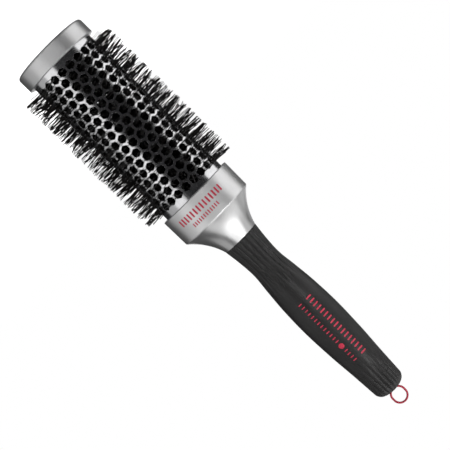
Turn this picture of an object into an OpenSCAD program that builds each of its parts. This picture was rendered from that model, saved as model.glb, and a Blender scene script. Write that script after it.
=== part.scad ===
// Round barrel hair brush: a perforated metal barrel with nylon bristles on a
// twisted wire core, a flared silver neck, a soft grip, and a sectioning pick
// with a red pull ring that is stored in the end of the grip.
// The brush stands on its end cap. The cap's face is z = 0, the Z axis is the
// axis of the brush, and the pull ring lies in the XZ plane.

/* [Barrel] */
// Outer diameter of the perforated barrel tube
barrel_d = 39; // [38:0.25:39.5]
// Wall of the barrel tube
barrel_wall = 0.9; // [0.7:0.1:1.1]
// Height of the first row of holes above the cap's face
first_row_z = 14.6; // [14.2:0.1:15.2]
// Distance between two rows of holes, along the barrel
row_pitch = 4.87; // [4.7:0.01:4.9]
// Number of rows of holes, and of bristle rings
rows = 18; // [12:1:18]
// Number of holes round the barrel in one row
holes_per_row = 22; // [18:1:22]
// Width of a six-sided hole across its flats
hole_af = 4.3; // [3.9:0.1:4.5]

/* [End cap] */
// Diameter of the end cap
cap_d = 43.8; // [42:0.1:45]
// Length of the end cap
cap_h = 9.1; // [8.5:0.1:10.5]

/* [Bristles] */
// Diameter over the bristle tips
bristle_d = 58; // [50:1:60]
// Diameter of a tuft where it leaves the hub
tuft_root_d = 1.2; // [1:0.1:1.3]
// Diameter of a tuft at its tip
tuft_tip_d = 4.6; // [4:0.1:4.8]
// Diameter of the hub where the filaments are gripped by the core wire
hub_d = 12; // [11:0.5:14]

/* [Core wire] */
// Diameter of one of the two twisted wires
wire_d = 1.6; // [1.4:0.1:1.6]
// Length of one full turn of the twist
twist_pitch = 14; // [12:1:18]

/* [Collar and neck] */
// Height of the collar's front edge above the cap's face
collar_z = 103; // [103:0.1:104]
// Diameter of the collar
collar_d = 43.8; // [43:0.1:45]
// Length of the collar
collar_h = 15.9; // [15:0.1:17]
// Length of the flared neck
neck_h = 17.1; // [16:0.1:19]
// Diameter of the neck where it meets the grip
neck_d = 21; // [20.6:0.1:21.4]
// Radius of the concave flare of the neck
flare_r = 34; // [30:1:44]

/* [Grip] */
// Length of the straight part of the grip, before its domed end
grip_h = 105.9; // [104:0.1:110]
// Height of the domed end of the grip
dome_h = 4.9; // [4.9:0.1:5.5]
// Diameter of the grip at the waist behind the neck
waist_d = 17.84; // [17.4:0.1:18.4]
// Largest diameter of the grip
belly_d = 23.2; // [22.4:0.2:25]
// Diameter of the grip where its domed end begins
tail_d = 17.94; // [17.4:0.1:19]
// Thickness of the soft grip over the hard core
grip_wall = 2.2; // [1.6:0.1:2.3]

/* [Pick and ring] */
// Diameter of the sectioning pick
pick_d = 3; // [2.6:0.1:3]
// Length of the pick's tapered point
pick_point_h = 26; // [15:1:40]
// Width of the pull ring
ring_w = 9; // [8.8:0.1:10]
// Length of the two straight sides of the pull ring
ring_side_h = 1.1; // [0.5:0.1:2]
// Diameter of the pull ring's wire
ring_wire_d = 1.1; // [0.9:0.05:1.1]

/* [Hidden] */
$fn = 96;
fit = 0.03;            // gap between two glued or pressed pieces
guide_gap = 0.06;      // running gap round the pick

// Barrel
barrel_r = barrel_d / 2;
bore_r = barrel_r - barrel_wall;
tube_z0 = 2;                           // the tube's end inside the cap
tube_z1 = collar_z + 12.2;             // the tube's end inside the collar
hole_step = 360 / holes_per_row;
hole_phase = 2.3;                      // direction of the first row's holes
hole_corner_d = hole_af / cos(30);

// End cap and plug
cap_face_h = 1.9;                      // thickness of the cap's face
cap_edge_r = 1.5;                      // rounding of the cap's outer edge
plug_h = 6;

// Core wire: two strands side by side, turned round the axis
wire_z0 = 4.5;
wire_z1 = collar_z + 23;
strand_r = wire_d / 2 - 0.01;
strand_offset = wire_d / 2 + fit / 2;
core_r = strand_offset + wire_d / 2;   // radius round both strands
strand_sides = 8;
slices_per_turn = 12;

// Bristle rings
hub_h = 3.9;
tuft_start = 4;                        // the tufts start inside the hub
tip_r = bristle_d / 2;

// Neck bush, collar and neck
bush_z0 = collar_z - 2.2;
bush_wire_h = 6;                       // length of the bush's wire bore
spigot_r = 7.5;                        // front spigot of the handle core
spigot_z0 = bush_z0 + bush_wire_h + 0.1;
neck_z = collar_z + collar_h;
neck_front_r = collar_d / 2 - 0.35;
grip_z = neck_z + neck_h;

// Flare: an arc of flare_r from the neck's front edge to its small end
flare_dz = neck_h;
flare_dr = neck_front_r - neck_d / 2;
flare_chord = sqrt(flare_dz * flare_dz + flare_dr * flare_dr);
flare_rise = sqrt(flare_r * flare_r - flare_chord * flare_chord / 4);
flare_cz = neck_z + flare_dz / 2 + flare_rise * flare_dr / flare_chord;
flare_cr = neck_d / 2 + flare_dr / 2 + flare_rise * flare_dz / flare_chord;

// Grip: stations [height above the grip's front edge, radius]
stations = [
    [0, neck_d / 2],
    [grip_h * 0.088, neck_d / 2 - 1.1],
    [grip_h * 0.178, waist_d / 2],
    [grip_h * 0.274, waist_d / 2 + 1.03],
    [grip_h * 0.390, belly_d / 2 - 0.53],
    [grip_h * 0.545, belly_d / 2],
    [grip_h * 0.714, belly_d / 2 - 0.62],
    [grip_h * 0.864, tail_d / 2 + 0.88],
    [grip_h, tail_d / 2]
];
station_steps = 4;                     // segments between two stations
dome_z = grip_z + grip_h;
end_z = dome_z + dome_h;               // the end of the grip
dome_steps = 8;
dome_power = 0.7;                      // under 1 gives the dome fuller shoulders
mouth_r = 3.7;                         // the recess round the pick's eye

// Pick, socket and ring
ring_r = (ring_w - ring_wire_d) / 2;
hinge_z = end_z - 0.5;                 // the ring's pivot in the pick's eye
eye_hole_r = ring_wire_d / 2 + 0.13;
eye_r = eye_hole_r + 0.42;
eye_w = 1.5;                           // thickness of the eye plate
pick_r = pick_d / 2;
flange_h = 0.6;
flange_z = hinge_z - 1.15 - flange_h;  // underside of the socket's flange
seat_z = flange_z + flange_h;          // the pick's head rests here
socket_r = 2.6;
socket_z0 = grip_z + 12.5;
pick_z0 = socket_z0 + 2.5;             // the pick's point
head_r = 2;
head_h = 4;                            // length of the head's boss
stem_r = 1;
stem_h = 3.6;
detent_z = seat_z - 10;
detent_wire_r = 0.32;

// ---- Functions ----

function ring_name(i) = str("bristle_ring_", i < 10 ? "0" : "", i);

// Slope of the grip's outline at station i, from its two neighbours
function slope(i) =
    let (a = max(i - 1, 0), b = min(i + 1, len(stations) - 1))
    (stations[b][1] - stations[a][1]) / (stations[b][0] - stations[a][0]);

// Radius between stations i and i + 1, at t from 0 to 1, on a cubic curve
function grip_radius(i, t) =
    let (h = stations[i + 1][0] - stations[i][0])
    (2 * t * t * t - 3 * t * t + 1) * stations[i][1]
    + (t * t * t - 2 * t * t + t) * h * slope(i)
    + (3 * t * t - 2 * t * t * t) * stations[i + 1][1]
    + (t * t * t - t * t) * h * slope(i + 1);

// The grip's side as [radius, z] points, moved in by inset
function grip_side(inset) = concat(
    [for (i = [0 : len(stations) - 2], k = [0 : station_steps - 1])
        let (t = k / station_steps)
        [
            grip_radius(i, t) - inset,
            grip_z + stations[i][0] + t * (stations[i + 1][0] - stations[i][0])
        ]
    ],
    [[tail_d / 2 - inset, dome_z]]
);

// Angle of the dome's last point, where the mouth's edge is
dome_end = acos(pow(mouth_r / (tail_d / 2), 1 / dome_power));

// The domed end as [radius, z] points, from the side to the mouth's edge
function dome() = [
    for (k = [1 : dome_steps])
        let (a = dome_end * k / dome_steps)
        [tail_d / 2 * pow(cos(a), dome_power), dome_z + dome_h * sin(a)]
];

// Points of a quarter circle of radius r about [cr, cz], from angle a0 to a1
function arc(cr, cz, r, a0, a1, steps = 6) = [
    for (k = [0 : steps])
        let (a = a0 + (a1 - a0) * k / steps)
        [cr + r * cos(a), cz + r * sin(a)]
];

// ---- Shapes used by several pieces ----

// A tube or a ring on the axis
module tube_shape(r, r_in, z0, z1) {
    translate([0, 0, z0])
        difference() {
            cylinder(r = r, h = z1 - z0);
            translate([0, 0, -1])
                cylinder(r = r_in, h = z1 - z0 + 2);
        }
}

// A disc on the axis
module disc(r, z0, z1) {
    translate([0, 0, z0])
        cylinder(r = r, h = z1 - z0);
}

// One strand of the core wire: a round wire wound once per twist_pitch
module strand(start) {
    n = strand_sides;
    turns = (wire_z1 - wire_z0) / twist_pitch;
    rings = ceil(turns * slices_per_turn);
    points = [
        for (i = [0 : rings], k = [0 : n - 1])
            let (a = start + 360 * turns * i / rings, b = 360 * k / n)
            [
                strand_offset * cos(a) + strand_r * cos(b),
                strand_offset * sin(a) + strand_r * sin(b),
                wire_z0 + (wire_z1 - wire_z0) * i / rings
            ]
    ];
    sides = [
        for (i = [0 : rings - 1], k = [0 : n - 1])
            let (a = i * n + k, b = i * n + (k + 1) % n)
            [a, a + n, b + n, b]
    ];
    first = [for (k = [0 : n - 1]) k];
    last = [for (k = [n - 1 : -1 : 0]) rings * n + k];
    polyhedron(points, concat(sides, [first, last]), convexity = 10);
}

// ---- Pieces ----

// Silver end cap, glued over the barrel's end
module end_cap() {
    color([0.72, 0.73, 0.74])
        rotate_extrude()
            polygon(concat(
                [[0, 0]],
                arc(cap_d / 2 - cap_edge_r, cap_edge_r, cap_edge_r, -90, 0),
                arc(cap_d / 2 - 0.4, cap_h - 0.4, 0.4, 0, 90, 3),
                [
                    [barrel_r + fit, cap_h],
                    [barrel_r + fit, cap_face_h],
                    [0, cap_face_h]
                ]
            ));
}

// Plastic plug in the barrel's end, with a boss that holds the core wire
module end_plug() {
    color([0.12, 0.12, 0.13])
        difference() {
            union() {
                disc(bore_r - fit, tube_z0, tube_z0 + 2.2);
                tube_shape(bore_r - fit, bore_r - 2, tube_z0 + 2.2, tube_z0 + plug_h);
                disc(5, tube_z0 + 2.2, tube_z0 + plug_h + 2);
            }
            disc(core_r + fit, wire_z0 - fit, cap_h + 10);
        }
}

// Perforated barrel tube
module barrel_tube() {
    color([0.8, 0.8, 0.82])
        difference() {
            tube_shape(barrel_r, bore_r, tube_z0, tube_z1);
            for (row = [0 : rows - 1], k = [0 : holes_per_row - 1])
                translate([0, 0, first_row_z + row * row_pitch])
                    rotate([0, 0, hole_phase + (k + row / 2) * hole_step])
                        rotate([0, 90, 0])
                            translate([0, 0, barrel_r - 4])
                                cylinder(d = hole_corner_d, h = 6, $fn = 6);
        }
}

module core_wire_a() {
    color([0.6, 0.6, 0.62])
        strand(0);
}

module core_wire_b() {
    color([0.6, 0.6, 0.62])
        strand(180);
}

// One ring of bristles: a hub on the core wire and a tuft through each hole.
// A tuft is a closed cone that stands for its dozen nylon filaments.
module bristle_ring(row) {
    z = first_row_z + row * row_pitch;
    color([0.06, 0.05, 0.05])
        translate([0, 0, z]) {
            tube_shape(hub_d / 2, core_r + fit, -hub_h / 2, hub_h / 2);
            for (k = [0 : holes_per_row - 1])
                rotate([0, 0, hole_phase + (k + row / 2) * hole_step])
                    rotate([0, 90, 0])
                        translate([0, 0, tuft_start])
                            cylinder(
                                d1 = tuft_root_d,
                                d2 = tuft_tip_d,
                                h = tip_r - tuft_start
                            );
        }
}

// Plastic bush between the barrel, the collar and the handle core
module neck_bush() {
    color([0.12, 0.12, 0.13])
        difference() {
            union() {
                disc(bore_r - fit, bush_z0, tube_z1 + 0.1);
                disc(barrel_r, tube_z1 + 0.1, neck_z - fit);
            }
            disc(core_r + fit, bush_z0 - 1, neck_z);
            disc(spigot_r + fit, bush_z0 + bush_wire_h, neck_z + 1);
        }
}

// Satin collar band over the barrel's rear end
module collar_band() {
    color([0.72, 0.73, 0.74])
        rotate_extrude()
            polygon(concat(
                [[barrel_r + fit, collar_z]],
                arc(collar_d / 2 - 0.5, collar_z + 0.5, 0.5, -90, 0, 3),
                arc(neck_front_r - 0.5, neck_z - 0.8, 0.8, 0, 90, 5),
                [[barrel_r + fit, neck_z]]
            ));
}

// Flared neck, polished
module neck_cone() {
    color([0.78, 0.79, 0.8])
        difference() {
            disc(neck_front_r - 0.6, neck_z + fit, grip_z - fit);
            rotate_extrude()
                translate([flare_cr, flare_cz])
                    circle(r = flare_r);
            disc(spigot_r + fit, neck_z - 1, grip_z + 1);
        }
}

// Hard core of the handle, with the spigot that joins it to the barrel
module handle_core() {
    color([0.2, 0.2, 0.22])
        difference() {
            union() {
                disc(spigot_r, spigot_z0, grip_z + 1);
                rotate_extrude()
                    polygon(concat(
                        [[0, grip_z]],
                        grip_side(grip_wall + fit),
                        [[0, dome_z]]
                    ));
            }
            disc(core_r + fit, spigot_z0 - 1, wire_z1 + 1);
            disc(socket_r + fit, socket_z0 - fit, dome_z + 1);
        }
}

// Soft grip moulded over the core, with a recess for the pick's eye
module grip_sleeve() {
    color([0.14, 0.14, 0.15])
        rotate_extrude()
            polygon(concat(
                grip_side(0),
                dome(),
                [
                    [mouth_r, flange_z],
                    [socket_r + fit, flange_z],
                    [socket_r + fit, dome_z + fit],
                    [tail_d / 2 - grip_wall, dome_z + fit]
                ],
                reverse_points(grip_side(grip_wall))
            ));
}

// Liner in the handle that guides the pick
module pick_socket() {
    color([0.45, 0.45, 0.47])
        difference() {
            union() {
                disc(socket_r, socket_z0, flange_z);
                disc(mouth_r - fit, flange_z, seat_z - fit);
            }
            disc(pick_r + guide_gap, socket_z0 + 1, seat_z + 1);
            disc(head_r + guide_gap, seat_z - head_h - 0.1, seat_z + 1);
            disc(pick_r + 0.75, detent_z - 0.4, detent_z + 0.4);
        }
}

// Rubber ring in the liner that grips the stored pick
module detent_ring() {
    color([0.08, 0.08, 0.08])
        translate([0, 0, detent_z])
            rotate_extrude()
                translate([pick_r + 0.04 + detent_wire_r, 0])
                    circle(r = detent_wire_r, $fn = 32);
}

// Steel sectioning pick
module sectioning_pick() {
    shoulder_z = seat_z - head_h - 0.05;
    color([0.7, 0.7, 0.72]) {
        disc(pick_r, pick_z0 + pick_point_h, shoulder_z);
        translate([0, 0, pick_z0 + 0.5])
            cylinder(r1 = 0.5, r2 = pick_r, h = pick_point_h - 0.5);
        translate([0, 0, pick_z0 + 0.5])
            sphere(r = 0.5, $fn = 32);
        disc(stem_r, shoulder_z, shoulder_z + stem_h);
    }
}

// Moulded head of the pick, with the eye that the ring hangs in
module pick_head() {
    color([0.1, 0.1, 0.1])
        difference() {
            union() {
                disc(head_r, seat_z - head_h, seat_z);
                disc(mouth_r - 0.8, seat_z, seat_z + 0.45);
                translate([-eye_w / 2, -eye_r, seat_z])
                    cube([eye_w, 2 * eye_r, hinge_z - seat_z]);
                translate([-eye_w / 2, 0, hinge_z])
                    rotate([0, 90, 0])
                        cylinder(r = eye_r, h = eye_w);
            }
            disc(stem_r + fit, seat_z - head_h - 1, seat_z - head_h + stem_h);
            translate([-eye_w, 0, hinge_z])
                rotate([0, 90, 0])
                    cylinder(r = eye_hole_r, h = 2 * eye_w);
        }
}

// One round end of the pull ring, open downwards
module ring_bend() {
    rotate([90, 0, 0])
        rotate_extrude(angle = 180)
            translate([ring_r, 0])
                circle(d = ring_wire_d, $fn = 32);
}

// Red pull ring: two round ends and two short straight sides
module pull_ring() {
    color([0.78, 0.08, 0.12])
        translate([0, 0, hinge_z + ring_r]) {
            translate([0, 0, ring_side_h])
                ring_bend();
            rotate([0, 180, 0])
                ring_bend();
            for (side = [-1, 1])
                translate([side * ring_r, 0, 0])
                    cylinder(d = ring_wire_d, h = ring_side_h, $fn = 32);
        }
}

function reverse_points(points) = [for (i = [len(points) - 1 : -1 : 0]) points[i]];

end_cap();
end_plug();
barrel_tube();
core_wire_a();
core_wire_b();
for (i = [1 : rows])
    bristle_ring(i - 1);
neck_bush();
collar_band();
neck_cone();
handle_core();
grip_sleeve();
pick_socket();
detent_ring();
sectioning_pick();
pick_head();
pull_ring();
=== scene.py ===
"""Round barrel hair brush: the looks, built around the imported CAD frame.

The brush stands on its end cap with its axis along +Z. Every length here is in
metres, and every position comes from the CAD nodes' boxes.
"""
import math
import random

import bpy
from mathutils import Matrix, Vector


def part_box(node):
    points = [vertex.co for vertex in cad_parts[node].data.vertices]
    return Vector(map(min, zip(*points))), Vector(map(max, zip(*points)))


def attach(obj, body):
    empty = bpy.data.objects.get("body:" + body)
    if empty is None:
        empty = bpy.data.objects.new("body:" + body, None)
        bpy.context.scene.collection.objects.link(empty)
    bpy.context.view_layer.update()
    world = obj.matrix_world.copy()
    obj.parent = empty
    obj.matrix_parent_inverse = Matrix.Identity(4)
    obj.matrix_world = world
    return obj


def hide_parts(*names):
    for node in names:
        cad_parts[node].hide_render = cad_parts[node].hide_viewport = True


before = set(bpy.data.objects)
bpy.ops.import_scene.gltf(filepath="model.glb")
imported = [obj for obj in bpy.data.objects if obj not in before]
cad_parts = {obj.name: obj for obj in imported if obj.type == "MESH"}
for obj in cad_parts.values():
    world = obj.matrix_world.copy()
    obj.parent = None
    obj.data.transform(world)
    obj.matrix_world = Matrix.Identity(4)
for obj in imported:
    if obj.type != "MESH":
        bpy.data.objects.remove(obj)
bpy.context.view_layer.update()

MM = 0.001
UP = Vector((0, 0, 1))

# ---------------------------------------------------------------- dimensions

_, cap_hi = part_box("end_cap")
tube_lo, tube_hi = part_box("barrel_tube")
collar_lo, collar_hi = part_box("collar_band")
neck_lo, neck_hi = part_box("neck_cone")
grip_lo, grip_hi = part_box("grip_sleeve")
_, liner_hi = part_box("pick_socket")
ring_lo, ring_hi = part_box("pull_ring")
first_lo, first_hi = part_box("bristle_ring_01")
second_lo, second_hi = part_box("bristle_ring_02")
wire_lo, wire_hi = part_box("core_wire_a")

# Gap between two pieces that are glued or pressed together
GLUE_GAP = 0.03 * MM
# How far past a rounded edge the first point of a straight wall lies, so that
# smooth shading leaves the wall flat
FLAT_FROM = 0.2 * MM

# End cap and barrel tube
cap_r = cap_hi.x
cap_h = cap_hi.z
CAP_FACE_H = 1.9 * MM                   # thickness of the cap's face
tube_r = tube_hi.x
TUBE_WALL = 0.9 * MM
tube_bore_r = tube_r - TUBE_WALL
sleeve_bore_r = tube_r + GLUE_GAP       # hole of the cap and of the collar

# Holes, and the bristle ring of each row of holes
RINGS = sorted(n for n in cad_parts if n.startswith("bristle_ring_"))
first_row_z = (first_lo.z + first_hi.z) / 2
row_pitch = (second_lo.z + second_hi.z) / 2 - first_row_z
tip_r = first_hi.x - 0.1 * MM           # where a filament of full length ends
HOLES_PER_ROW = 22
HOLE_STEP = 2 * math.pi / HOLES_PER_ROW
HOLE_PHASE = math.radians(2.3)          # direction of the first row's first hole
HOLE_AF = 4.3 * MM                      # width of a hole across its flats

# Collar and neck
collar_r = collar_hi.x
neck_z = neck_lo.z
neck_front_r = collar_r - 0.48 * MM     # inside the collar's rounded edge
NECK_BORE_R = 7.53 * MM
FLARE_R = 34 * MM                       # radius of the neck's concave flare

# Grip. The mouth in its domed end takes the pick's head, and below it is the hole
# for the pick's liner.
grip_z = grip_lo.z
grip_end = grip_hi.z
grip_dome_z = grip_z + 105.9 * MM       # where the domed end begins
mouth_floor_z = liner_hi.z - 0.57 * MM  # the liner stands proud of this floor
inner_end_z = grip_dome_z + GLUE_GAP    # where the hard core ends
GRIP_WALL = 2.2 * MM
MOUTH_R = 3.7 * MM
LINER_HOLE_R = 2.63 * MM
DOME_H = 4.9 * MM
DOME_POWER = 0.7                        # below 1, so the dome is blunter than a ball
GRIP_FRONT_R = 10.5 * MM
WAIST_R = 8.92 * MM
belly_r = grip_hi.x
TAIL_R = 8.97 * MM
FLUTES = 20
NECK_FLUTE = 0.68 * MM                  # depth of the flutes at the neck
TAIL_FLUTE = 0.62 * MM                  # and at the tail
# Where the flutes fade: from and to, behind the neck and before the grip's end
NECK_FADE = (14 * MM, 40 * MM)
TAIL_FADE = (28 * MM, 9 * MM)

# The grip's outline: (height as a share of its straight part, radius)
GRIP_STATIONS = [
    (0.0, GRIP_FRONT_R),
    (0.088, GRIP_FRONT_R - 1.1 * MM),
    (0.178, WAIST_R),
    (0.274, WAIST_R + 1.03 * MM),
    (0.390, belly_r - 0.53 * MM),
    (0.545, belly_r),
    (0.714, belly_r - 0.62 * MM),
    (0.864, TAIL_R + 0.88 * MM),
    (1.0, TAIL_R),
]

# Filaments and core wire
FILAMENT_R = 0.185 * MM
FILAMENTS = (4, 8)                      # fewest and most that leave through one hole
INNER_FILAMENTS = 26                    # those that stay inside, for each hole
CORE_R = 1.75 * MM                      # where the twisted wire grips them
STRAND_R = 0.79 * MM                    # one of the two wires
STRAND_OFFSET = 0.815 * MM              # from the axis to the middle of a strand
TWIST_PITCH = 14 * MM                   # length of one turn of the twist

# Pull ring
RING_WIRE_R = 0.55 * MM
ring_r = (ring_hi.x - ring_lo.x) / 2 - RING_WIRE_R


# ------------------------------------------------------------------- helpers

def add_mesh(name, verts, faces, material, smooth=True):
    """A mesh object from plain lists, linked to the scene."""
    mesh = bpy.data.meshes.new(name)
    mesh.from_pydata([tuple(v) for v in verts], [], faces)
    mesh.validate()
    mesh.materials.append(material)
    mesh.polygons.foreach_set("use_smooth", [smooth] * len(mesh.polygons))
    mesh.update()
    obj = bpy.data.objects.new(name, mesh)
    bpy.context.scene.collection.objects.link(obj)
    return obj


def keep_edges(obj, degrees=50):
    """Keeps the edges that turn by more than this many degrees crisp."""
    obj.data.set_sharp_from_angle(angle=math.radians(degrees))


def finish_piece(obj, body, slot, *nodes):
    """Rides the piece on its body and hides the CAD nodes that it stands in for."""
    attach(obj, body)
    if nodes:
        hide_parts(*nodes)


def between(a, b, share):
    """The point that lies a share of the way from a to b."""
    return tuple(p + (q - p) * share for p, q in zip(a, b))


def smooth_step(lo, hi, x):
    """Rises smoothly from 0 at lo to 1 at hi."""
    t = min(max((x - lo) / (hi - lo), 0), 1)
    return t * t * (3 - 2 * t)


def arc(cr, cz, r, a0, a1, steps):
    """Points (radius, z) of an arc about (cr, cz), angles in degrees."""
    out = []
    for k in range(steps + 1):
        a = math.radians(a0 + (a1 - a0) * k / steps)
        out.append((cr + r * math.cos(a), cz + r * math.sin(a)))
    return out


def revolve(name, profile, material, sides=192, shape=None):
    """Turns a closed (radius, z) outline about the Z axis.

    shape(radius, z, angle) may change the radius. Points on the axis become one
    vertex each.
    """
    on_axis = 1e-7
    verts, rows = [], []
    for r, z in profile:
        if r < on_axis:
            rows.append([len(verts)])
            verts.append((0, 0, z))
            continue
        rows.append(list(range(len(verts), len(verts) + sides)))
        for k in range(sides):
            a = 2 * math.pi * k / sides
            rr = shape(r, z, a) if shape else r
            verts.append((rr * math.cos(a), rr * math.sin(a), z))
    faces = []
    for row, nxt in zip(rows, rows[1:] + rows[:1]):
        if len(row) == 1 and len(nxt) == 1:
            continue
        for k in range(sides):
            k2 = (k + 1) % sides
            if len(row) == 1:
                faces.append((row[0], nxt[k2], nxt[k]))
            elif len(nxt) == 1:
                faces.append((row[k], row[k2], nxt[0]))
            else:
                faces.append((row[k], row[k2], nxt[k2], nxt[k]))
    obj = add_mesh(name, verts, faces, material)
    keep_edges(obj)
    return obj


def sweep(verts, faces, path, radius, sides, narrow_start=False):
    """Adds a round rod along path to the lists verts and faces, closed at both
    ends. narrow_start makes its first end a little thinner."""
    narrow = 0.8 if narrow_start else 1
    straight_up = 1e-3
    n = len(path)
    start = len(verts)
    for i, p in enumerate(path):
        t = (path[min(i + 1, n - 1)] - path[max(i - 1, 0)]).normalized()
        side = t.cross(UP)
        if side.length < straight_up:
            side = t.cross(Vector((0, 1, 0)))
        side.normalize()
        up = side.cross(t)
        r = radius * (narrow if i == 0 else 1)
        for k in range(sides):
            a = 2 * math.pi * k / sides
            verts.append(p + side * (r * math.cos(a)) + up * (r * math.sin(a)))
    for a0 in range(start, start + (n - 1) * sides, sides):
        b0 = a0 + sides
        for k in range(sides):
            k2 = (k + 1) % sides
            faces.append((a0 + k, b0 + k, b0 + k2, a0 + k2))
    faces.append(tuple(start + k for k in range(sides)))
    faces.append(tuple(start + (n - 1) * sides + k for k in reversed(range(sides))))


# ----------------------------------------------------------------- materials

class Nodes:
    """A short way to build a material's node tree."""

    def __init__(self, name):
        self.mat = bpy.data.materials.new(name)
        self.mat.use_nodes = True
        self.tree = self.mat.node_tree
        self.shader = self.tree.nodes["Principled BSDF"]
        self.coord = self.tree.nodes.new("ShaderNodeTexCoord")

    def set(self, **values):
        """Constants set on the shader's own sockets."""
        for key, value in values.items():
            self.shader.inputs[key.replace("_", " ")].default_value = value

    def noise(self, scale, detail, rough, stretch=(1, 1, 1)):
        """Noise on object coordinates, first multiplied by stretch."""
        place = self.tree.nodes.new("ShaderNodeMapping")
        place.inputs["Scale"].default_value = stretch
        self.tree.links.new(self.coord.outputs["Object"], place.inputs["Vector"])
        n = self.tree.nodes.new("ShaderNodeTexNoise")
        n.inputs["Scale"].default_value = scale
        n.inputs["Detail"].default_value = detail
        n.inputs["Roughness"].default_value = rough
        self.tree.links.new(place.outputs["Vector"], n.inputs["Vector"])
        return n.outputs["Fac"]

    def ramp(self, value, *stops):
        """A colour ramp through stops, each (position, grey or colour)."""
        r = self.tree.nodes.new("ShaderNodeValToRGB")
        r.color_ramp.elements[0].position = stops[0][0]
        r.color_ramp.elements[1].position = stops[-1][0]
        for pos, _ in stops[1:-1]:
            r.color_ramp.elements.new(pos)
        for element, (_, c) in zip(r.color_ramp.elements, stops):
            element.color = (c, c, c, 1) if isinstance(c, (int, float)) else (*c, 1)
        self.tree.links.new(value, r.inputs["Fac"])
        return r.outputs["Color"]

    def bump(self, height, strength, distance, over=None):
        """Relief from a height, laid over another bump if one is given."""
        b = self.tree.nodes.new("ShaderNodeBump")
        b.inputs["Strength"].default_value = strength
        b.inputs["Distance"].default_value = distance
        self.tree.links.new(height, b.inputs["Height"])
        if over is not None:
            self.tree.links.new(over, b.inputs["Normal"])
        return b.outputs["Normal"]

    def link(self, value, socket):
        """Feeds a node's output to one of the shader's sockets."""
        self.tree.links.new(value, self.shader.inputs[socket])


def silver_material(name, light, dark, rough_lo, rough_hi, flake, metallic, turned):
    """Silver lacquer over turned metal: fine flake, faint clouding, uneven gloss.

    turned is how much the highlights are drawn out along the axis."""
    m = Nodes(name)
    m.set(Metallic=metallic, Anisotropic=turned, Anisotropic_Rotation=0.25)
    round_axis = m.tree.nodes.new("ShaderNodeTangent")
    round_axis.direction_type = "RADIAL"
    round_axis.axis = "Z"
    m.link(round_axis.outputs["Tangent"], "Tangent")
    cloud = m.noise(scale=60, detail=4, rough=0.6)
    m.link(m.ramp(cloud, (0.3, dark), (0.7, light)), "Base Color")
    smudge = m.noise(scale=110, detail=5, rough=0.65)
    m.link(m.ramp(smudge, (0.3, rough_lo), (0.72, rough_hi)), "Roughness")
    grain = m.noise(scale=7000, detail=2, rough=0.5)
    dents = m.noise(scale=260, detail=2, rough=0.5)
    lines = m.noise(scale=4200, detail=2, rough=0.6, stretch=(0.02, 0.02, 1))
    soft = m.bump(dents, 0.05, 0.2 * MM)
    drawn = m.bump(lines, 0.12 * turned, 0.02 * MM, over=soft)
    m.link(m.bump(grain, flake, 0.02 * MM, over=drawn), "Normal")
    return m.mat


def barrel_material():
    """Polished aluminium, drawn along the tube, with rubbed and dulled spots."""
    m = Nodes("barrel_metal")
    m.set(Metallic=1.0)
    cloud = m.noise(scale=90, detail=4, rough=0.6)
    shade = m.ramp(cloud, (0.3, (0.61, 0.61, 0.62)), (0.7, (0.76, 0.76, 0.77)))
    m.link(shade, "Base Color")
    drawn = m.noise(scale=2600, detail=3, rough=0.6, stretch=(1, 1, 0.03))
    m.link(m.ramp(drawn, (0.25, 0.13), (0.75, 0.26)), "Roughness")
    waves = m.noise(scale=170, detail=2, rough=0.5)
    soft = m.bump(waves, 0.10, 0.3 * MM)
    m.link(m.bump(drawn, 0.10, 0.02 * MM, over=soft), "Normal")
    return m.mat


def nylon_material():
    """Near-black nylon filament, each one a slightly different shade."""
    m = Nodes("bristle_nylon")
    m.set(IOR=1.53, Specular_IOR_Level=0.3)
    each = m.tree.nodes.new("ShaderNodeNewGeometry").outputs["Random Per Island"]
    black = (0.003, 0.0025, 0.0025)
    worn = (0.007, 0.006, 0.0055)
    brown = (0.022, 0.018, 0.015)
    m.link(m.ramp(each, (0.0, black), (0.7, worn), (1.0, brown)), "Base Color")
    scuff = m.noise(scale=3000, detail=2, rough=0.5)
    m.link(m.ramp(scuff, (0.3, 0.30), (0.7, 0.48)), "Roughness")
    m.link(m.bump(scuff, 0.2, 0.02 * MM), "Normal")
    return m.mat


def grip_material():
    """Soft-touch black rubber: fine stipple, faint dust and hand polish."""
    m = Nodes("soft_grip")
    m.set(Sheen_Weight=0.03, Sheen_Roughness=0.5, Specular_IOR_Level=0.4)
    cloud = m.noise(scale=45, detail=5, rough=0.6)
    shade = m.ramp(cloud, (0.3, (0.010, 0.0095, 0.0095)), (0.72, (0.019, 0.018, 0.018)))
    m.link(shade, "Base Color")
    rub = m.noise(scale=80, detail=4, rough=0.6)
    m.link(m.ramp(rub, (0.3, 0.40), (0.7, 0.54)), "Roughness")
    stipple = m.noise(scale=3200, detail=2, rough=0.55)
    m.link(m.bump(stipple, 0.35, 0.03 * MM), "Normal")
    return m.mat


def plastic_material(name, low, high, rough):
    """Moulded plastic or rubber: faint clouding and a fine spark texture."""
    m = Nodes(name)
    m.set(Specular_IOR_Level=0.45)
    cloud = m.noise(scale=120, detail=4, rough=0.6)
    m.link(m.ramp(cloud, (0.3, low), (0.7, high)), "Base Color")
    patch = m.noise(scale=300, detail=3, rough=0.5)
    m.link(m.ramp(patch, (0.3, rough - 0.06), (0.7, rough + 0.06)), "Roughness")
    spark = m.noise(scale=5000, detail=2, rough=0.5)
    m.link(m.bump(spark, 0.2, 0.02 * MM), "Normal")
    return m.mat


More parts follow.
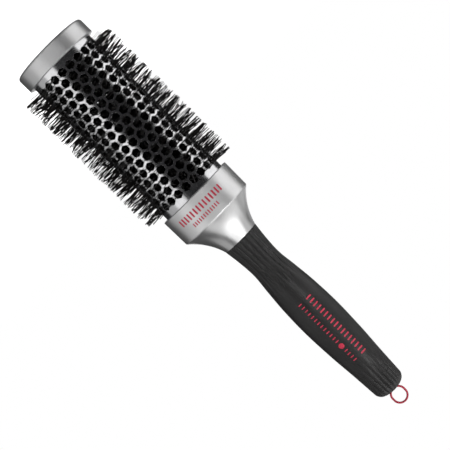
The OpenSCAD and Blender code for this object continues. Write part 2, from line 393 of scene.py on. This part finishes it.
def steel_material(name, along, rough):
    """Steel with fine lines and faint staining. along is how much the lines are
    squeezed along the piece: the smaller it is, the longer they are."""
    m = Nodes(name)
    m.set(Metallic=1.0)
    stain = m.noise(scale=150, detail=4, rough=0.6)
    shade = m.ramp(stain, (0.25, (0.44, 0.43, 0.42)), (0.7, (0.64, 0.64, 0.65)))
    m.link(shade, "Base Color")
    lines = m.noise(scale=5200, detail=3, rough=0.6, stretch=(1, 1, along))
    m.link(m.ramp(lines, (0.3, rough - 0.07), (0.7, rough + 0.08)), "Roughness")
    m.link(m.bump(lines, 0.18, 0.02 * MM), "Normal")
    return m.mat


def enamel_material():
    """Red enamel on wire: glossy, a little darker where it pooled."""
    m = Nodes("red_enamel")
    m.set(Coat_Weight=0.12, Coat_Roughness=0.2, Specular_IOR_Level=0.3)
    pool = m.noise(scale=160, detail=3, rough=0.5)
    shade = m.ramp(pool, (0.3, (0.40, 0.020, 0.046)), (0.7, (0.50, 0.030, 0.062)))
    m.link(shade, "Base Color")
    m.link(m.ramp(pool, (0.3, 0.32), (0.7, 0.42)), "Roughness")
    m.link(m.bump(pool, 0.06, 0.05 * MM), "Normal")
    return m.mat


def print_material():
    """Red printing ink: thin and slightly uneven over the grain."""
    m = Nodes("red_print")
    m.set(Specular_IOR_Level=0.4)
    grain = m.noise(scale=2600, detail=3, rough=0.6)
    shade = m.ramp(grain, (0.25, (0.52, 0.022, 0.052)), (0.6, (0.72, 0.038, 0.088)))
    m.link(shade, "Base Color")
    m.link(m.ramp(grain, (0.3, 0.42), (0.7, 0.58)), "Roughness")
    m.link(m.bump(grain, 0.15, 0.02 * MM), "Normal")
    return m.mat


MAT = {
    "satin": silver_material(
        "satin_silver", light=0.91, dark=0.84, rough_lo=0.46, rough_hi=0.54,
        flake=0.25, metallic=0.92, turned=0.75,
    ),
    "polished": silver_material(
        "polished_silver", light=0.70, dark=0.63, rough_lo=0.27, rough_hi=0.34,
        flake=0.08, metallic=0.9, turned=0.3,
    ),
    "barrel": barrel_material(),
    "nylon": nylon_material(),
    "grip": grip_material(),
    "dark": plastic_material("dark_plastic", (0.012, 0.012, 0.013), (0.022, 0.022, 0.024), 0.5),
    "head": plastic_material("head_plastic", (0.010, 0.010, 0.011), (0.02, 0.02, 0.021), 0.4),
    "seal": plastic_material("seal_rubber", (0.008, 0.008, 0.008), (0.016, 0.015, 0.015), 0.65),
    "core": steel_material("core_steel", along=0.3, rough=0.34),
    "pick": steel_material("pick_steel", along=0.02, rough=0.27),
    "enamel": enamel_material(),
    "print": print_material(),
}


# ------------------------------------------------------- cap, collar and neck

def make_end_cap():
    """Silver cap: flat face with a rounded edge, thin lip against the barrel."""
    edge, lip = 1.5 * MM, 0.35 * MM
    profile = [(0, 0), (cap_r / 2, 0)]
    profile += arc(cap_r - edge, edge, edge, -90, 0, steps=10)
    profile += [(cap_r, edge + FLAT_FROM), (cap_r, cap_h - lip - FLAT_FROM)]
    profile += arc(cap_r - lip, cap_h - lip, lip, 0, 90, steps=5)
    profile += [(sleeve_bore_r, cap_h), (sleeve_bore_r, CAP_FACE_H), (0, CAP_FACE_H)]
    obj = revolve("cap_shell", profile, MAT["satin"])
    finish_piece(obj, "brush", "satin_silver", "end_cap")


def make_collar():
    """Satin collar: small front lip, slight taper, rounded rear edge."""
    lip, rear = 0.5 * MM, 0.6 * MM
    rear_r = collar_r - 0.2 * MM
    lo, hi = collar_lo.z, collar_hi.z
    profile = [(sleeve_bore_r, lo)]
    profile += arc(collar_r - lip, lo + lip, lip, -90, 0, steps=6)
    profile += [(collar_r, lo + lip + FLAT_FROM), (rear_r, hi - rear - FLAT_FROM)]
    profile += arc(rear_r - rear, hi - rear, rear, 0, 50, steps=6)
    profile += [(neck_front_r, hi), (sleeve_bore_r, hi)]
    obj = revolve("collar_shell", profile, MAT["satin"])
    finish_piece(obj, "brush", "satin_silver", "collar_band")


def flare_profile(steps):
    """The neck's concave outline, an arc between its two end radii."""
    r0, r1 = collar_r - 0.35 * MM, GRIP_FRONT_R
    dz, dr = grip_z - neck_z, r0 - r1
    chord = math.hypot(dz, dr)
    rise = math.sqrt(FLARE_R ** 2 - chord ** 2 / 4)
    cz = neck_z + dz / 2 + rise * dr / chord
    cr = r1 + dr / 2 + rise * dz / chord
    a0 = math.atan2(neck_z - cz, r0 - cr)
    a1 = math.atan2(grip_z - cz, r1 - cr)
    if a1 > a0:
        a1 -= 2 * math.pi
    return arc(cr, cz, FLARE_R, math.degrees(a0), math.degrees(a1), steps)


def make_neck():
    """Flared neck: starts inside the collar's rear edge, eased against the grip."""
    front_gap, rear_ease = 0.05 * MM, 0.02 * MM
    flare = [(r, z) for r, z in flare_profile(steps=48) if r < neck_front_r - front_gap]
    profile = [(NECK_BORE_R, neck_z), (neck_front_r, neck_z)]
    profile += flare[:-1]
    profile += [(flare[-1][0] - rear_ease, neck_hi.z), (NECK_BORE_R, neck_hi.z)]
    obj = revolve("neck_shell", profile, MAT["polished"])
    finish_piece(obj, "brush", "polished_silver", "neck_cone")


# ---------------------------------------------------------------------- grip

def grip_radius(z):
    """The grip's radius at height z, on smooth curves through its stations."""
    last = len(GRIP_STATIONS) - 1
    s = min(max((z - grip_z) / (grip_dome_z - grip_z), 0), 1)
    i = max(k for k in range(last) if GRIP_STATIONS[k][0] <= s)

    def slope(k):
        sa, ra = GRIP_STATIONS[max(k - 1, 0)]
        sb, rb = GRIP_STATIONS[min(k + 1, last)]
        return (rb - ra) / (sb - sa)

    s0, r0 = GRIP_STATIONS[i]
    s1, r1 = GRIP_STATIONS[i + 1]
    h = s1 - s0
    t = (s - s0) / h
    from_start = (2 * t ** 3 - 3 * t ** 2 + 1) * r0 + (t ** 3 - 2 * t ** 2 + t) * h * slope(i)
    from_end = (3 * t ** 2 - 2 * t ** 3) * r1 + (t ** 3 - t ** 2) * h * slope(i + 1)
    return from_start + from_end


def flute_depth(z):
    """How deep the lengthwise flutes are at height z: both ends, not the middle."""
    neck_fade = smooth_step(grip_z + NECK_FADE[0], grip_z + NECK_FADE[1], z)
    tail_rise = smooth_step(grip_end - TAIL_FADE[0], grip_end - TAIL_FADE[1], z)
    return NECK_FLUTE * (1 - neck_fade) + TAIL_FLUTE * tail_rise


def fluted(r, z, a):
    """Radius r less the flutes: round ridges and sharp grooves between them, which
    run out towards the mouth."""
    groove = 1 - abs(math.cos(FLUTES * a / 2))
    off_mouth = smooth_step(MOUTH_R + 0.3 * MM, MOUTH_R + 3 * MM, r)
    return r - flute_depth(z) * groove * off_mouth


def grip_shape(r, z, a):
    """Flutes on the outside of the grip only. Its inner wall stays round."""
    inside = z <= inner_end_z and r < grip_radius(z) - GRIP_WALL / 2
    return r if inside else fluted(r, z, a)


def make_grip():
    """Soft grip: one closed shell with flutes at both ends and a domed tail."""
    steps, dome_steps, inner_steps = 150, 24, 20
    front_ease = 0.12 * MM
    straight_h = grip_dome_z - grip_z
    profile = [
        (grip_radius(grip_z) - front_ease, grip_z),
        (grip_radius(grip_z + front_ease), grip_z + front_ease),
    ]
    for k in range(1, steps + 1):
        z = grip_z + straight_h * k / steps
        profile.append((grip_radius(z), z))
    dome_end = math.acos((MOUTH_R / TAIL_R) ** (1 / DOME_POWER))
    for k in range(1, dome_steps + 1):
        a = dome_end * k / dome_steps
        profile.append((TAIL_R * math.cos(a) ** DOME_POWER, grip_dome_z + DOME_H * math.sin(a)))
    profile += [(MOUTH_R, mouth_floor_z), (LINER_HOLE_R, mouth_floor_z)]
    profile += [(LINER_HOLE_R, inner_end_z), (TAIL_R - GRIP_WALL, inner_end_z)]
    for k in range(inner_steps, -1, -1):
        z = grip_z + straight_h * k / inner_steps
        profile.append((grip_radius(z) - GRIP_WALL, z))
    obj = revolve("grip_skin", profile, MAT["grip"], sides=320, shape=grip_shape)
    finish_piece(obj, "brush", "soft_grip", "grip_sleeve")


# --------------------------------------------------------- perforated barrel

LAST_ROW = len(RINGS) - 1
HEX_ANGLES = [math.radians(60 * j) for j in range(6)]
# The honeycomb runs this share of a row's pitch past the first and last rows
PAST_ROW = 0.85
# Corners of a cell towards the end cap and towards the collar
LOW_CORNERS, HIGH_CORNERS = (2, 3, 4), (5, 0, 1)
# Points of an outline: six corners, with three points each
OUTLINE = range(18)
# How finely the points that neighbouring cells share are told apart, in steps per
# hole round the tube and per row along it
KEYS_ROUND, KEYS_ALONG = 1440, 720


def row_z(row):
    """Height of a row of holes."""
    return first_row_z + row * row_pitch


def hole_angle(row, k):
    """Direction of hole k of a row. Each row is half a step round from the last."""
    return HOLE_PHASE + (k + row / 2) * HOLE_STEP


def hex_outline(size, corner):
    """A hole's outline as (z, y): six corners, each cut back by the length corner
    and rounded through a point a little inside it."""
    share = corner / size
    inside = 1 - 0.18 * share
    corners = [(size * math.cos(a), size * math.sin(a)) for a in HEX_ANGLES]
    out = []
    for j, here in enumerate(corners):
        out.append(between(here, corners[j - 1], share))
        out.append((here[0] * inside, here[1] * inside))
        out.append(between(here, corners[(j + 1) % 6], share))
    return out


def cell_outline(row):
    """The border of the metal round one hole, as (z, share of half a step). It has
    a point for each point of the hole's outline, and neighbours share it. In the
    first and last rows it ends at the tube's plain margin."""
    side_share = 0.2
    half_h = row_pitch * 2 / 3
    widest = math.sin(HEX_ANGLES[1])
    corners = [(half_h * math.cos(a), math.sin(a) / widest) for a in HEX_ANGLES]
    if row == 0:
        for j in LOW_CORNERS:
            corners[j] = (-PAST_ROW * row_pitch, corners[j][1])
    if row == LAST_ROW:
        for j in HIGH_CORNERS:
            corners[j] = (PAST_ROW * row_pitch, corners[j][1])
    out = []
    for j, here in enumerate(corners):
        out.append(between(here, corners[j - 1], side_share))
        out.append(here)
        out.append(between(here, corners[(j + 1) % 6], side_share))
    return out


class TubeMesh:
    """The barrel's vertices, normals and faces. Points on its outer and inner wall
    are shared by all the cells that meet there."""

    def __init__(self):
        self.verts, self.normals, self.faces, self.shared = [], [], [], {}

    def add(self, r, theta, z, normal):
        """A point of its own, with this normal."""
        self.verts.append((r * math.cos(theta), r * math.sin(theta), z))
        self.normals.append(normal)
        return len(self.verts) - 1

    def on_wall(self, outer, theta, z):
        """A shared point on the outer wall, or on the inner one."""
        turn = round(theta / HOLE_STEP * KEYS_ROUND) % (KEYS_ROUND * HOLES_PER_ROW)
        key = (outer, turn, round(z / row_pitch * KEYS_ALONG))
        if key not in self.shared:
            r, sign = (tube_r, 1) if outer else (tube_bore_r, -1)
            normal = (sign * math.cos(theta), sign * math.sin(theta), 0)
            self.shared[key] = self.add(r, theta, z, normal)
        return self.shared[key]


def add_cell(tube, row, k, outlines):
    """One hole with its eased edge, and the metal round it on both walls."""
    cell, lip, hole, ease = outlines
    zc, tc = row_z(row), hole_angle(row, k)
    loops = {"border": [], "lip": [], "top": [], "low": [], "back": []}
    for (bz, by), (lz, ly), (hz, hy) in zip(cell, lip, hole):
        tb = tc + by * HOLE_STEP / 2
        loops["border"].append(tube.on_wall(True, tb, zc + bz))
        loops["back"].append(tube.on_wall(False, tb, zc + bz))
        tl = tc + math.asin(ly / tube_r)
        loops["lip"].append(tube.add(tube_r, tl, zc + lz, (math.cos(tl), math.sin(tl), 0)))
        size = math.hypot(hz, hy)
        inward = (math.sin(tc) * hy / size, -math.cos(tc) * hy / size, -hz / size)
        for name, r in (("top", tube_r - ease), ("low", tube_bore_r)):
            th = tc + math.asin(hy / r)
            loops[name].append(tube.add(r, th, zc + hz, inward))
    order = list(loops.values())
    for p in OUTLINE:
        q = (p + 1) % len(OUTLINE)
        for a, b in zip(order, order[1:]):
            tube.faces.append((a[q], a[p], b[p], b[q]))


def add_margin(tube, z_end, up):
    """The plain tube from the honeycomb's last row, or with up False from its
    first, to the end of the barrel at z_end: both walls and the end face."""
    row = LAST_ROW if up else 0
    cell = cell_outline(row)
    z_from = row_z(row) + (PAST_ROW if up else -PAST_ROW) * row_pitch
    corners = HIGH_CORNERS if up else LOW_CORNERS
    points = [cell[3 * j + n][1] for j in corners for n in range(3)]
    turns = set()
    for k in range(HOLES_PER_ROW):
        for y in points:
            theta = (hole_angle(row, k) + y * HOLE_STEP / 2) % (2 * math.pi)
            turns.add(round(theta / HOLE_STEP * KEYS_ROUND))
    thetas = [turn * HOLE_STEP / KEYS_ROUND for turn in sorted(turns)]
    for t0, t1 in zip(thetas, thetas[1:] + thetas[:1]):
        for outer in (True, False):
            wall = [(t0, z_from), (t1, z_from), (t1, z_end), (t0, z_end)]
            quad = [tube.on_wall(outer, t, z) for t, z in wall]
            tube.faces.append(tuple(quad if outer == up else reversed(quad)))
        rim = [(True, t0), (True, t1), (False, t1), (False, t0)]
        quad = [tube.on_wall(outer, t, z_end) for outer, t in rim]
        tube.faces.append(tuple(quad if up else reversed(quad)))


def make_barrel():
    """Tube with a honeycomb of six-sided holes, edges eased on the outside."""
    hole_size = HOLE_AF / 2 / math.cos(math.radians(30))
    ease, hole_corner, lip_corner = 0.06 * MM, 0.35 * MM, 0.38 * MM
    hole = hex_outline(hole_size, hole_corner)
    lip = hex_outline(hole_size + ease * 1.15, lip_corner)
    tube = TubeMesh()
    for row in range(len(RINGS)):
        outlines = (cell_outline(row), lip, hole, ease)
        for k in range(HOLES_PER_ROW):
            add_cell(tube, row, k, outlines)
    add_margin(tube, tube_lo.z, up=False)
    add_margin(tube, tube_hi.z, up=True)
    obj = add_mesh("barrel_skin", tube.verts, tube.faces, MAT["barrel"])
    obj.data.normals_split_custom_set_from_vertices(tube.normals)
    finish_piece(obj, "brush", "barrel_metal", "barrel_tube")


# ------------------------------------------------------ bristles, core wires

# How the filaments of a tuft stand, as slopes away from their hole's direction
TUFT_LEAN = 0.085                       # the whole tuft
SPREAD = 0.03                           # away from the middle of the hole
BUNCH = 0.08                            # towards one of the tuft's clumps
STEADY_SLOPE = 0.035
STRAY_SLOPE = 0.14
STRAY_SHARE = 0.12                      # how many of them are strays
CAP_SLOPE = -0.05                       # the most that the first row leans to the cap


def around(angle, height):
    """A function that turns (radius, sideways, up) into a point, seen from the
    axis in this direction and at this height."""
    out = Vector((math.cos(angle), math.sin(angle), 0))
    side = Vector((-math.sin(angle), math.cos(angle), 0))
    return lambda r, s, z: out * r + side * s + UP * (height + z)


def scatter(rng, spread):
    """A random (sideways, up) slope."""
    return Vector((rng.gauss(0, spread), rng.gauss(0, spread)))


def spot_in_hole(rng):
    """A random place (sideways, up) in a hole, in shares of half its width. There
    is less room sideways near its upper and lower corners."""
    high = rng.uniform(-1, 1)
    wide = min(1, 2 - 1.72 * abs(high)) * 0.88
    return Vector((rng.uniform(-wide, wide), high))


def tuft_filament(rng, row, at, lean, clumps):
    """Path of a filament that leaves through a hole: it starts at the core, passes
    its spot in the hole, and spreads or bunches with its tuft. at gives points of
    the hole, lean is the tuft's slope and clumps are where its filaments bunch."""
    spot = spot_in_hole(rng)
    longest, unevenness = 1.04, 0.13
    reach = (tip_r - tube_r) * (longest - unevenness * rng.random() ** 2)
    pull = rng.choice(clumps)
    fan = spot * SPREAD + lean + (pull - spot) * BUNCH
    is_stray = rng.random() < STRAY_SHARE
    fan += scatter(rng, STRAY_SLOPE if is_stray else STEADY_SLOPE)
    if row == 0:
        fan.y = max(fan.y, CAP_SLOPE)
    root = Vector((spot.x * 0.2 * MM, spot.y * 1.7 * MM))
    gate = spot * (HOLE_AF / 2)
    middle = gate + fan * (reach * 0.48)
    tip = gate + fan * reach
    return [
        at(CORE_R, root.x, root.y),
        at(tube_r - 0.6 * MM, gate.x, gate.y),
        at(tube_r + reach * 0.5, middle.x, middle.y),
        at(tube_r + reach, tip.x, tip.y),
    ]


def inner_filament(rng, row, k):
    """Path of a filament that stays inside, bent against the wall of the barrel."""
    at = around(hole_angle(row, k) + rng.uniform(-0.5, 0.5) * HOLE_STEP, row_z(row))
    start_z = rng.uniform(-1.9, 1.9) * MM
    end_z = rng.uniform(-2.6, 2.6) * MM
    bend = rng.uniform(-3, 3) * MM
    return [
        at(CORE_R, 0, start_z),
        at(tube_bore_r * 0.75, 0, end_z),
        at(tube_bore_r - 0.9 * MM, bend, end_z * 1.05),
    ]


def make_bristles():
    """Nylon filaments gripped at the core, one piece for each row of holes. Most
    leave through a hole as a tuft, and the others fill the barrel."""
    rng = random.Random(7)
    for row, node in enumerate(RINGS):
        verts, faces = [], []
        for k in range(HOLES_PER_ROW):
            at = around(hole_angle(row, k), row_z(row))
            lean = scatter(rng, TUFT_LEAN)
            clumps = [Vector((rng.uniform(-1, 1), rng.uniform(-1, 1))) for _ in range(2)]
            for _ in range(rng.randint(*FILAMENTS)):
                path = tuft_filament(rng, row, at, lean, clumps)
                sweep(verts, faces, path, FILAMENT_R, sides=5, narrow_start=True)
            for _ in range(INNER_FILAMENTS):
                path = inner_filament(rng, row, k)
                sweep(verts, faces, path, FILAMENT_R, sides=4, narrow_start=True)
        obj = add_mesh("bristles" + node[-3:], verts, faces, MAT["nylon"])
        keep_edges(obj, degrees=60)
        finish_piece(obj, "brush", "bristle_nylon", node)


def make_core_wires():
    """The two twisted wires as round strands."""
    lo, hi = wire_lo.z, wire_hi.z
    steps = int((hi - lo) / TWIST_PITCH * 32)
    for start, node in ((0.0, "core_wire_a"), (math.pi, "core_wire_b")):
        path = []
        for i in range(steps + 1):
            z = lo + (hi - lo) * i / steps
            a = start + 2 * math.pi * (z - lo) / TWIST_PITCH
            path.append(Vector((STRAND_OFFSET * math.cos(a), STRAND_OFFSET * math.sin(a), z)))
        verts, faces = [], []
        sweep(verts, faces, path, STRAND_R, sides=14)
        obj = add_mesh(node.replace("core_wire", "strand"), verts, faces, MAT["core"])
        keep_edges(obj)
        finish_piece(obj, "brush", "core_steel", node)


# ----------------------------------------------------- pull ring and printing

def make_pull_ring():
    """Red wire ring, closed, hanging in the pick's eye: two half rounds joined by
    short straight sides."""
    low_z = ring_lo.z + RING_WIRE_R + ring_r
    high_z = ring_hi.z - RING_WIRE_R - ring_r
    turns, sides = 112, 20
    verts, faces = [], []
    for i in range(turns):
        a = 2 * math.pi * (i + 0.5) / turns
        out = Vector((math.cos(a), 0, math.sin(a)))
        centre = Vector((0, 0, high_z if out.z > 0 else low_z))
        for k in range(sides):
            b = 2 * math.pi * k / sides
            reach = ring_r + RING_WIRE_R * math.cos(b)
            verts.append(centre + out * reach + Vector((0, RING_WIRE_R * math.sin(b), 0)))
    for i in range(turns):
        a0, b0 = i * sides, ((i + 1) % turns) * sides
        for k in range(sides):
            k2 = (k + 1) % sides
            faces.append((a0 + k, a0 + k2, b0 + k2, b0 + k))
    obj = add_mesh("ring_wire", verts, faces, MAT["enamel"])
    finish_piece(obj, "ring", "red_enamel", "pull_ring")


# How square a mark is: the power of its outline's curve
BAR, DOT = 6, 2


def squircle(u, v, power):
    """Folds a point of the square from -1 to 1 into a rounded outline."""
    edge = max(abs(u), abs(v))
    if edge == 0:
        return u, v
    shrink = (abs(u) ** power + abs(v) ** power) ** (1 / power) / edge
    return u / shrink, v / shrink


def add_mark(verts, faces, mark, radius_at):
    """One mark as a thin closed plate on a grid of points, half of it sunk in the
    surface. mark is (z, angle, half height, half width, power)."""
    z, angle, half_z, half_y, power = mark
    half = 6
    grid = 2 * half + 1
    proud = 0.03 * MM
    start = len(verts)
    for height in (proud, -proud):
        for i in range(grid):
            for j in range(grid):
                u, v = squircle((i - half) / half, (j - half) / half, power)
                zz = z + u * half_z
                aa = angle + v * half_y / radius_at(z, angle)
                r = radius_at(zz, aa) + height
                verts.append((r * math.sin(aa), -r * math.cos(aa), zz))
    under = grid * grid
    for i in range(grid - 1):
        for j in range(grid - 1):
            a = start + i * grid + j
            quad = (a, a + 1, a + grid + 1, a + grid)
            faces.append(quad)
            faces.append(tuple(k + under for k in reversed(quad)))
    last = grid - 1
    rim = [start + j for j in range(grid)]
    rim += [start + i * grid + last for i in range(1, grid)]
    rim += [start + last * grid + j for j in range(last - 1, -1, -1)]
    rim += [start + i * grid for i in range(last - 1, 0, -1)]
    for a, b in zip(rim, rim[1:] + rim[:1]):
        faces.append((b, a, a + under, b + under))


def make_marks(name, marks, radius_at):
    """Red printed marks on the surface radius_at(z, angle), as one piece. An angle
    of 0 is the side of the brush that faces -Y."""
    verts, faces = [], []
    for mark in marks:
        add_mark(verts, faces, mark, radius_at)
    obj = add_mesh(name, verts, faces, MAT["print"])
    keep_edges(obj, degrees=40)
    finish_piece(obj, "brush", "red_enamel")


def collar_row(count, above, first_deg, sweep_deg, half_z, half_y):
    """A row of bars round the collar, this far above its front edge."""
    marks = []
    for k in range(count):
        angle = math.radians(first_deg + sweep_deg * k / (count - 1))
        marks.append((collar_lo.z + above, angle, half_z, half_y, BAR))
    return marks


def grip_mark(z, aside, half_z, half_y, power=BAR):
    """A mark on the grip at height z, this far to the side of its middle line."""
    return (z, aside / grip_radius(z), half_z, half_y, power)


def make_print():
    """Plain rows of bars and one dot, where the brush is printed in red."""
    marks = collar_row(
        14, above=6.2 * MM, first_deg=-29, sweep_deg=75, half_z=1.9 * MM, half_y=0.45 * MM)
    marks += collar_row(
        12, above=11.0 * MM, first_deg=-12, sweep_deg=44, half_z=1.1 * MM, half_y=0.3 * MM)
    make_marks("collar_marks", marks, lambda z, a: collar_r)

    first_z = grip_z + 44.6 * MM
    large_pitch, small_pitch = 2.46 * MM, 2.19 * MM
    large_bar = {"aside": -3.0 * MM, "half_z": 0.38 * MM, "half_y": 1.7 * MM}
    small_bar = {"aside": 3.1 * MM, "half_z": 0.28 * MM, "half_y": 1.05 * MM}
    dot = {"aside": 3.2 * MM, "half_z": 1.5 * MM, "half_y": 1.5 * MM, "power": DOT}
    before_dot = 13
    marks = []
    for k in range(17):
        marks.append(grip_mark(first_z + k * large_pitch, **large_bar))
    for k in range(19):
        if k not in (before_dot, before_dot + 1):
            marks.append(grip_mark(first_z + k * small_pitch, **small_bar))
    marks.append(grip_mark(first_z + (before_dot + 0.5) * small_pitch, **dot))
    # the flutes count their angle from +X
    make_marks("grip_marks", marks, lambda z, a: fluted(grip_radius(z), z, a + math.pi * 1.5))


def paint_nodes():
    """Gives the CAD nodes that stay in view their finished materials."""
    for node, material in (
        ("end_plug", "dark"), ("neck_bush", "dark"), ("handle_core", "dark"),
        ("pick_socket", "dark"), ("detent_ring", "seal"),
        ("sectioning_pick", "pick"), ("pick_head", "head"),
    ):
        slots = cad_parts[node].data.materials
        slots.clear()
        slots.append(MAT[material])


# --------------------------------------------------------------------- stage

def make_floor():
    """Plain pale floor, a hair under the end cap. Only the camera sees it, so that
    the soft boxes alone light the brush."""
    mat = bpy.data.materials.new("studio_floor")
    mat.use_nodes = True
    shader = mat.node_tree.nodes["Principled BSDF"]
    shader.inputs["Base Color"].default_value = (0.82, 0.82, 0.82, 1)
    shader.inputs["Roughness"].default_value = 0.9
    shader.inputs["Emission Color"].default_value = (1, 1, 1, 1)
    shader.inputs["Emission Strength"].default_value = 1.0
    size, z = 30.0, -0.02 * MM
    verts = [(-size, -size, z), (size, -size, z), (size, size, z), (-size, size, z)]
    obj = add_mesh("floor", verts, [(0, 1, 2, 3)], mat, smooth=False)
    obj.visible_glossy = False
    obj.visible_diffuse = False
    obj.visible_shadow = False


def make_world():
    """White to the camera, a dim studio to everything else."""
    world = bpy.data.worlds.new("studio")
    bpy.context.scene.world = world
    world.use_nodes = True
    tree = world.node_tree
    tree.nodes.clear()
    out = tree.nodes.new("ShaderNodeOutputWorld")
    mix = tree.nodes.new("ShaderNodeMixShader")
    path = tree.nodes.new("ShaderNodeLightPath")
    room = tree.nodes.new("ShaderNodeBackground")
    room.inputs["Color"].default_value = (0.02, 0.02, 0.021, 1)
    white = tree.nodes.new("ShaderNodeBackground")
    white.inputs["Color"].default_value = (1, 1, 1, 1)
    tree.links.new(path.outputs["Is Camera Ray"], mix.inputs["Fac"])
    tree.links.new(room.outputs["Background"], mix.inputs[1])
    tree.links.new(white.outputs["Background"], mix.inputs[2])
    tree.links.new(mix.outputs["Shader"], out.inputs["Surface"])


def softbox(name, azimuth, elevation, distance, width, height, radiance, aim, spread=180):
    """An area light seen from aim at the given angles. Azimuth 0 is the camera's
    side (-Y) and 90 is -X; elevation is towards +Z. A spread below 180 degrees is
    a grid on the box, which keeps its light off what lies to the side."""
    a, e = math.radians(azimuth), math.radians(elevation)
    back = Vector((-math.sin(a) * math.cos(e), -math.cos(a) * math.cos(e), math.sin(e)))
    data = bpy.data.lights.new(name, "AREA")
    data.shape = "RECTANGLE"
    data.size, data.size_y = width, height
    data.energy = radiance * math.pi * width * height
    data.spread = math.radians(spread)
    obj = bpy.data.objects.new(name, data)
    obj.location = aim + back * distance
    obj.rotation_mode = "QUATERNION"
    obj.rotation_quaternion = back.to_track_quat("Z", "Y")
    obj.visible_camera = False
    bpy.context.scene.collection.objects.link(obj)


def make_lights():
    """Soft boxes round the brush. Each line is name, azimuth, elevation, distance,
    width, height, radiance, the point it is aimed at, and the grid's spread."""
    middle = Vector((0, 0, 0.11))
    shoulder = Vector((0, 0, 0.13))
    cap = Vector((0, 0, 0.01))
    tail = Vector((0, 0, 0.235))
    neck = Vector((0, 0, 0.165))
    softbox("key_left", 89, -3, 0.6, 0.62, 0.62, 1.15, middle)
    softbox("key_right", -50, -3, 0.6, 0.46, 0.62, 1.05, middle)
    softbox("fill_right", -92, -3, 0.6, 0.46, 0.62, 0.45, middle)
    softbox("front_low", 0, -30, 0.55, 0.5, 0.15, 1.75, cap)
    softbox("tail_kicker", 22, 20, 0.25, 0.05, 0.1, 0.8, tail, 56)
    softbox("neck_kicker", 20, 7, 0.15, 0.03, 0.03, 0.8, neck, 40)
    softbox("back_high", 148, 26, 0.8, 0.4, 0.4, 0.35, shoulder)
    softbox("top_box", 12, 51, 0.7, 0.95, 0.58, 1.6, shoulder)
    softbox("sky_box", 70, 84, 0.7, 0.8, 0.9, 0.8, shoulder)
    softbox("left_high", 80, 36, 0.7, 0.45, 0.3, 0.6, shoulder)
    softbox("right_high", -92, 36, 0.7, 0.5, 0.3, 0.45, shoulder)
    softbox("back_left", 130, 48, 0.7, 0.6, 0.4, 0.35, shoulder)
    softbox("backdrop", 178, 6, 0.9, 0.5, 0.7, 0.9, middle)


def make_camera():
    """The photograph's view: a long lens nearly level with the barrel, rolled so
    that the brush runs from the upper left down to the lower right."""
    focus = Vector((0.0, 0.0, 0.1257))
    distance = 0.768
    shift_across = 0.81 * MM
    tilt = math.radians(3.3)
    roll = math.radians(44.55)
    look = Vector((0, math.cos(tilt), math.sin(tilt)))
    along = (UP - look * look.z).normalized()
    across = (-look).cross(along)
    right = along * math.cos(roll) + across * math.sin(roll)
    up = across * math.cos(roll) - along * math.sin(roll)
    data = bpy.data.cameras.new("camera")
    data.lens, data.sensor_width = 120.6, 36.0
    data.clip_start, data.clip_end = 0.05, 50
    cam = bpy.data.objects.new("camera", data)
    bpy.context.scene.collection.objects.link(cam)
    cam.location = focus - look * distance - across * shift_across
    cam.rotation_mode = "QUATERNION"
    cam.rotation_quaternion = Matrix((right, up, -look)).transposed().to_quaternion()
    bpy.context.scene.camera = cam


make_end_cap()
make_collar()
make_neck()
make_grip()
make_barrel()
make_bristles()
make_core_wires()
make_pull_ring()
make_print()
paint_nodes()

make_camera()
make_world()
make_floor()
make_lights()
bpy.context.scene.view_settings.view_transform = "Standard"
bpy.context.scene.view_settings.look = "None"
